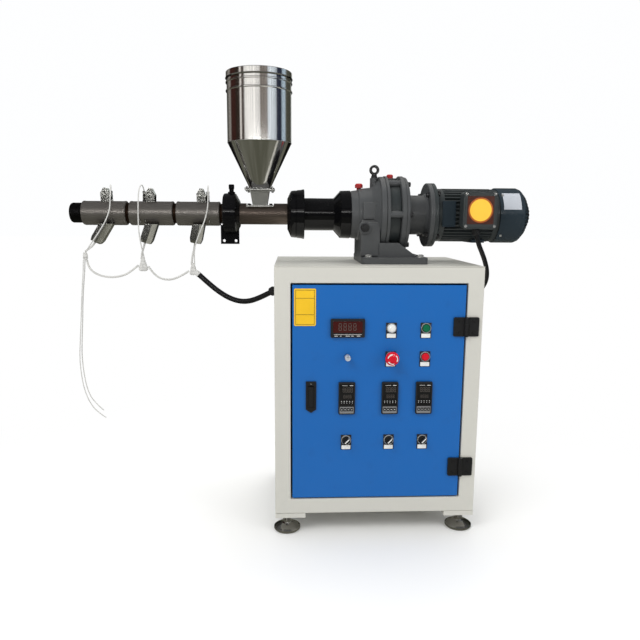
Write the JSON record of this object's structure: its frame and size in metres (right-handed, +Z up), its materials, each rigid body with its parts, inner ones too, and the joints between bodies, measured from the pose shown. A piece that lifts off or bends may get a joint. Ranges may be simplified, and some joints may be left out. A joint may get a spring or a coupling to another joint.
{
  "type": "single-screw plastic extruder",
  "caption": "Bench-height plastic extruder: heated barrel, hopper and geared motor on a control cabinet with an opening door.",
  "frame": {"origin": "on the floor, under the middle of the machine's box without its leads and cables", "axes": "+X towards the motor, -X towards the die end, +Y from the door to the back, +Z up"},
  "size_m": [1.4076, 0.495, 1.3621],
  "materials": {
    "cabinet_paint": "warm light grey powder coat, satin",
    "door_paint": "bright blue powder coat, satin",
    "foot_chrome": "nickel-plated steel",
    "hinge_black": "black die casting",
    "latch_black": "black die casting",
    "instrument_black": "black moulded case",
    "switch_black": "black body and plate, bright ring",
    "lamp_white": "white lens",
    "button_green": "green cap",
    "button_red": "red cap",
    "knob_black": "black knob with a white pointer line",
    "knob_silver": "turned aluminium",
    "gear_paint": "dark grey enamel on castings",
    "motor_paint": "dark blue-grey enamel",
    "plug_red": "red plug",
    "gloss_black": "gloss black enamel",
    "feed_steel": "turned steel, heat-browned",
    "barrel_steel": "nitrided steel",
    "die_black": "black-oxidised steel",
    "band_steel": "rolled steel sheet",
    "clamp_zinc": "zinc-plated steel",
    "throat_steel": "brushed stainless steel",
    "mirror_steel": "mirror-polished stainless steel",
    "gland_black": "black nylon",
    "wrap_tape": "white glass tape",
    "cable_black": "black sleeve",
    "lead_white": "white glass-braid sleeve"
  },
  "bodies": {
    "machine": {"frame_posts": "cabinet_paint", "frame_rails": "cabinet_paint", "top_plate": "cabinet_paint", "cabinet_panels": "cabinet_paint", "corner_plates": "cabinet_paint", "levelling_feet": "foot_chrome", "hinge_frame_leaves": "hinge_black", "gearbox_housing": "gear_paint", "pinwheel_ring": "gear_paint", "input_cover": "gear_paint", "motor_frame": "motor_paint", "fan_cover": "motor_paint", "terminal_box": "motor_paint", "lifting_eye": "gear_paint", "oil_plugs": "plug_red", "thrust_housing": "gloss_black", "drive_flange": "gloss_black", "feed_section": "feed_steel", "barrel_flange": "gloss_black", "hose_nipple": "gloss_black", "barrel": "barrel_steel", "screw": "barrel_steel", "die_nut": "die_black", "heater_bands": "band_steel", "band_clamps": "clamp_zinc", "temperature_probes": "clamp_zinc", "heater_terminal_boxes": "band_steel", "hopper_throat": "throat_steel", "hopper_cone": "mirror_steel", "hopper_cylinder": "mirror_steel", "cable_glands": "gland_black", "lead_wraps": "wrap_tape", "heater_conduit": "cable_black", "motor_cable": "cable_black", "harness_loop_1": "lead_white", "harness_loop_2": "lead_white", "probe_lead_1": "lead_white", "probe_lead_2": "lead_white", "probe_lead_3": "lead_white", "heater_lead_1": "lead_white", "heater_lead_2": "lead_white", "heater_lead_3": "lead_white", "tail_lead_1": "lead_white", "tail_lead_2": "lead_white"},
    "door": {"door": "door_paint", "hinge_door_leaves": "hinge_black", "latch_dish": "latch_black", "temperature_controllers": "instrument_black", "panel_meter": "instrument_black", "switch_collars": "switch_black", "power_lamp": "lamp_white"},
    "latch_handle": {"latch_handle": "latch_black"},
    "start_button": {"start_button": "button_green"},
    "stop_button": {"stop_button": "button_red"},
    "estop_button": {"estop_button": "button_red"},
    "selector_knob_1": {"selector_knob_1": "knob_black"},
    "selector_knob_2": {"selector_knob_2": "knob_black"},
    "selector_knob_3": {"selector_knob_3": "knob_black"},
    "speed_knob": {"speed_knob": "knob_silver"},
    "hopper_lid": {"hopper_lid": "mirror_steel"}
  },
  "joints": [
    {"name": "door_hinge", "type": "hinge", "parent": "machine", "child": "door", "pos_m": [0.46525, -0.214, 0.434], "axis": [0, 0, 1], "range_deg": [0, 110]},
    {"name": "latch_flip", "type": "hinge", "parent": "door", "child": "latch_handle", "pos_m": [0.01875, -0.2075, 0.454], "axis": [-1, 0, 0], "range_deg": [0, 60]},
    {"name": "start_press", "type": "slide", "parent": "door", "child": "start_button", "axis": [0, 1, 0], "range_m": [0, 0.004], "stiffness_N_per_m": 600},
    {"name": "stop_press", "type": "slide", "parent": "door", "child": "stop_button", "axis": [0, 1, 0], "range_m": [0, 0.004], "stiffness_N_per_m": 600},
    {"name": "estop_press", "type": "slide", "parent": "door", "child": "estop_button", "axis": [0, 1, 0], "range_m": [0, 0.006]},
    {"name": "selector_1_turn", "type": "hinge", "parent": "door", "child": "selector_knob_1", "pos_m": [0.12275, -0.2135, 0.295], "axis": [0, -1, 0], "range_deg": [0, 90]},
    {"name": "selector_2_turn", "type": "hinge", "parent": "door", "child": "selector_knob_2", "pos_m": [0.24875, -0.2135, 0.295], "axis": [0, -1, 0], "range_deg": [0, 90]},
    {"name": "selector_3_turn", "type": "hinge", "parent": "door", "child": "selector_knob_3", "pos_m": [0.34875, -0.2135, 0.295], "axis": [0, -1, 0], "range_deg": [0, 90]},
    {"name": "speed_turn", "type": "hinge", "parent": "door", "child": "speed_knob", "pos_m": [0.12275, -0.2125, 0.546], "axis": [0, -1, 0], "range_deg": [-150, 150]},
    {"name": "lid_lift", "type": "slide", "parent": "machine", "child": "hopper_lid", "axis": [0, 0, 1], "range_m": [0, 0.15]}
  ]
}
